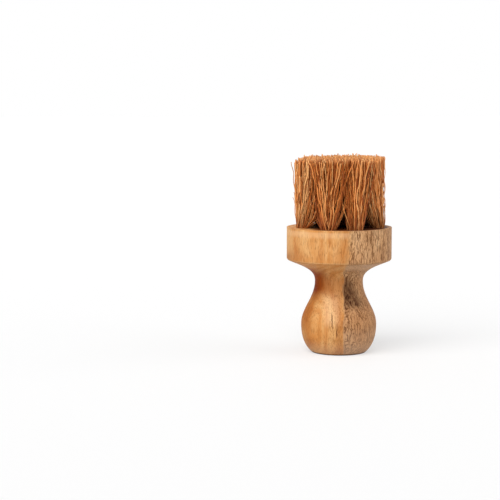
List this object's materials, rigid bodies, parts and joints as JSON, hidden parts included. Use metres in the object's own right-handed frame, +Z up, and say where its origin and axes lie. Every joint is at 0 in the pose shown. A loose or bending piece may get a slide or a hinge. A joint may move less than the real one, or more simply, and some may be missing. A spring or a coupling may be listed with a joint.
{
  "type": "palm brush",
  "caption": "Small round scrubbing brush held in the palm: a turned wooden knob and head, drilled for tufts of coarse plant fibre.",
  "frame": {"origin": "middle of the flat foot", "axes": "+Z up through the knob, the neck, the head and the bristles; -Y is the side that faces the picture's camera"},
  "size_m": [0.055, 0.055, 0.1032],
  "materials": {
    "wood": "sanded and lightly oiled hardwood",
    "fibre": "coarse undyed plant fibre",
    "steel": "bare flat wire"
  },
  "bodies": {
    "root": {"handle": "wood", "middle_tuft": "fibre", "inner_1_tuft": "fibre", "inner_2_tuft": "fibre", "inner_3_tuft": "fibre", "inner_4_tuft": "fibre", "outer_1_tuft": "fibre", "outer_2_tuft": "fibre", "outer_3_tuft": "fibre", "outer_4_tuft": "fibre", "outer_5_tuft": "fibre", "outer_6_tuft": "fibre", "outer_7_tuft": "fibre", "outer_8_tuft": "fibre", "middle_anchor": "steel", "inner_1_anchor": "steel", "inner_2_anchor": "steel", "inner_3_anchor": "steel", "inner_4_anchor": "steel", "outer_1_anchor": "steel", "outer_2_anchor": "steel", "outer_3_anchor": "steel", "outer_4_anchor": "steel", "outer_5_anchor": "steel", "outer_6_anchor": "steel", "outer_7_anchor": "steel", "outer_8_anchor": "steel"}
  },
  "joints": []
}
